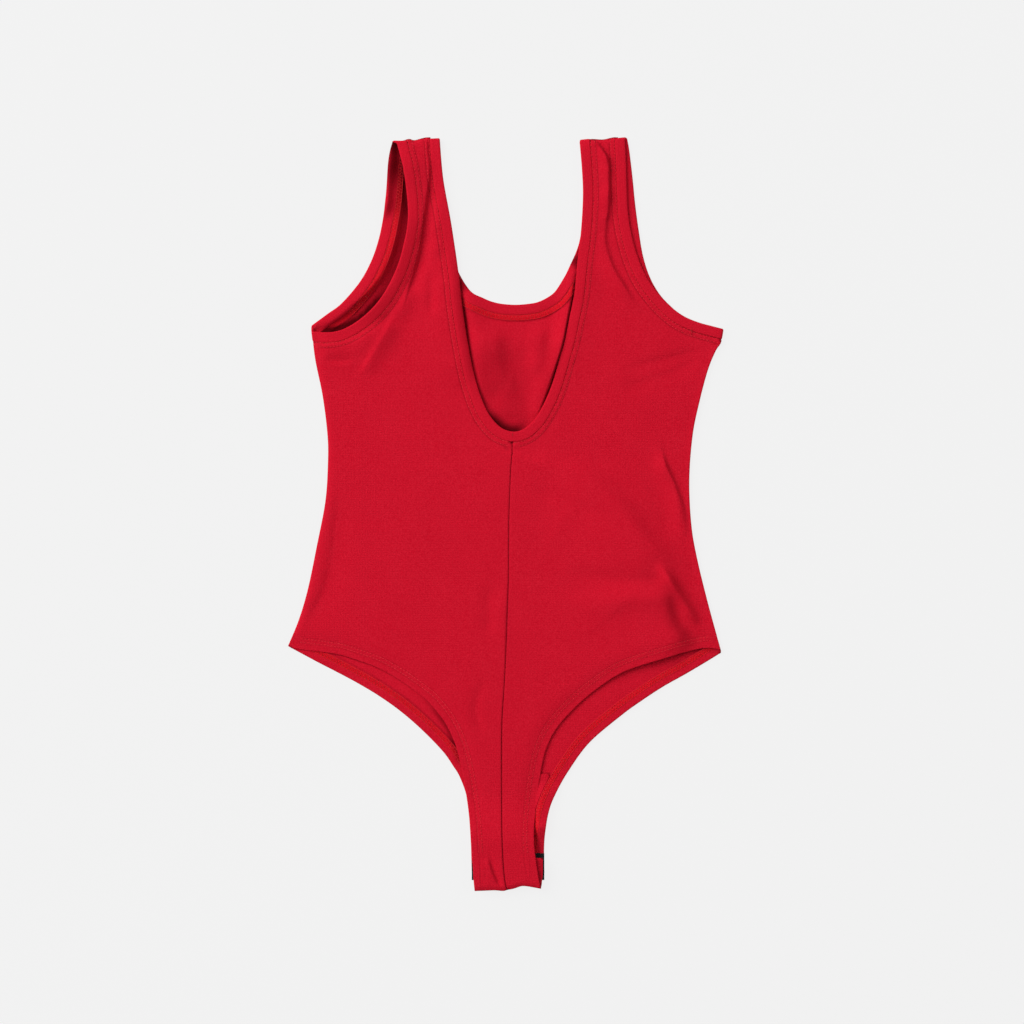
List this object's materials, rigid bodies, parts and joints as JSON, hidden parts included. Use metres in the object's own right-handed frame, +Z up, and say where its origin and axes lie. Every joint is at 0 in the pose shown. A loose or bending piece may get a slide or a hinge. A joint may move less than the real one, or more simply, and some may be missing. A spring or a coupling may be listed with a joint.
{
  "type": "bodysuit",
  "caption": "Sleeveless jersey bodysuit laid flat back up, with a deep U back neck, wide straps, bound armholes, high-cut legs and a snap crotch on black tape.",
  "frame": {"origin": "middle of the base of the whole garment, on the table that it lies on", "axes": "+Z up from the table out of the garment's back, +Y from the crotch to the shoulder straps, +X to the right of a viewer who looks down on it with the straps away from them"},
  "size_m": [0.413, 0.7149, 0.0101],
  "materials": {
    "red_jersey": "matt single jersey, cotton with elastane",
    "black_tape": "matt woven snap tape",
    "snap_metal": "black enamelled press snap"
  },
  "bodies": {
    "root": {"front_panel": "red_jersey", "back_panel_left": "red_jersey", "back_panel_right": "red_jersey", "neck_band": "red_jersey", "armhole_band_left": "red_jersey", "armhole_band_right": "red_jersey", "crotch_lining": "red_jersey", "snap_tape_front": "black_tape", "snap_tape_back": "black_tape", "snap_socket_1": "snap_metal", "snap_socket_2": "snap_metal", "snap_socket_3": "snap_metal", "snap_stud_1": "snap_metal", "snap_stud_2": "snap_metal", "snap_stud_3": "snap_metal"}
  },
  "joints": []
}
